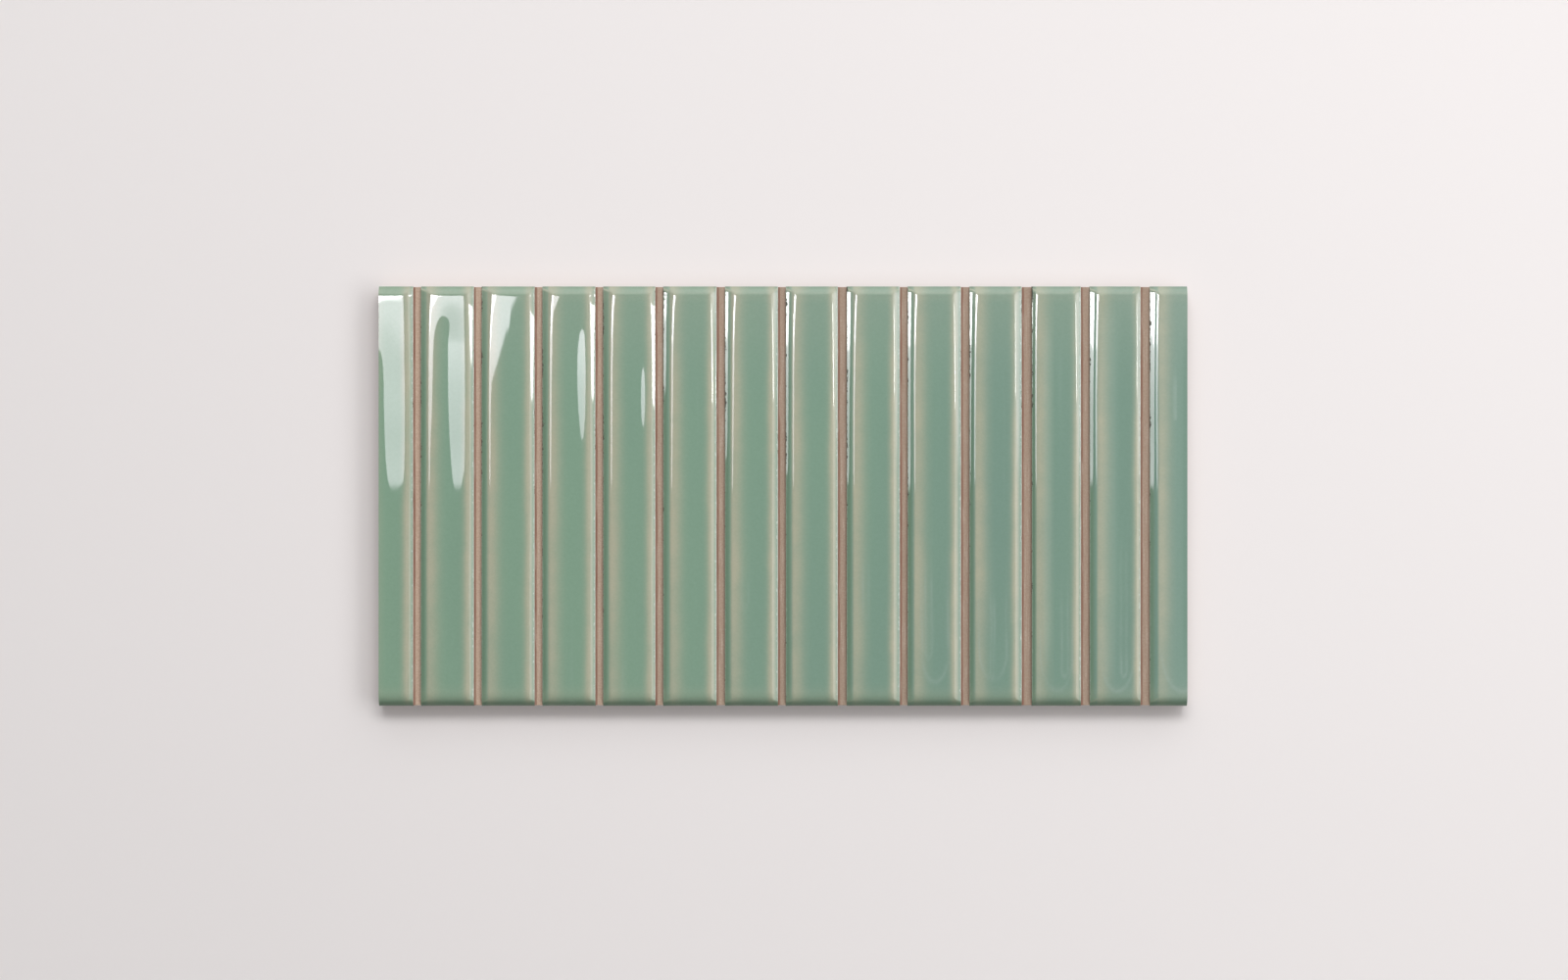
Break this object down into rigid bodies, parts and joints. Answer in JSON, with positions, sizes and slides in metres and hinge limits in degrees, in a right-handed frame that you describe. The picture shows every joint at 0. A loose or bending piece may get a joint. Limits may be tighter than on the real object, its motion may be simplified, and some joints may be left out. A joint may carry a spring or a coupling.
{
  "type": "glazed ridged wall tile",
  "caption": "Rectangular glossy ceramic wall tile with a row of raised, slightly dished bars, rounded ridges and bare clay grooves between them.",
  "frame": {"origin": "middle of the tile's length and width, on the plane of the back's rib crests", "axes": "+X along the tile's length, across the bars; +Y along the bars; +Z out of the glazed face"},
  "size_m": [0.2214, 0.115, 0.0085],
  "materials": {
    "glazed_clay": "glossy"
  },
  "bodies": {
    "root": {"wall_tile": "glazed_clay"}
  },
  "joints": []
}
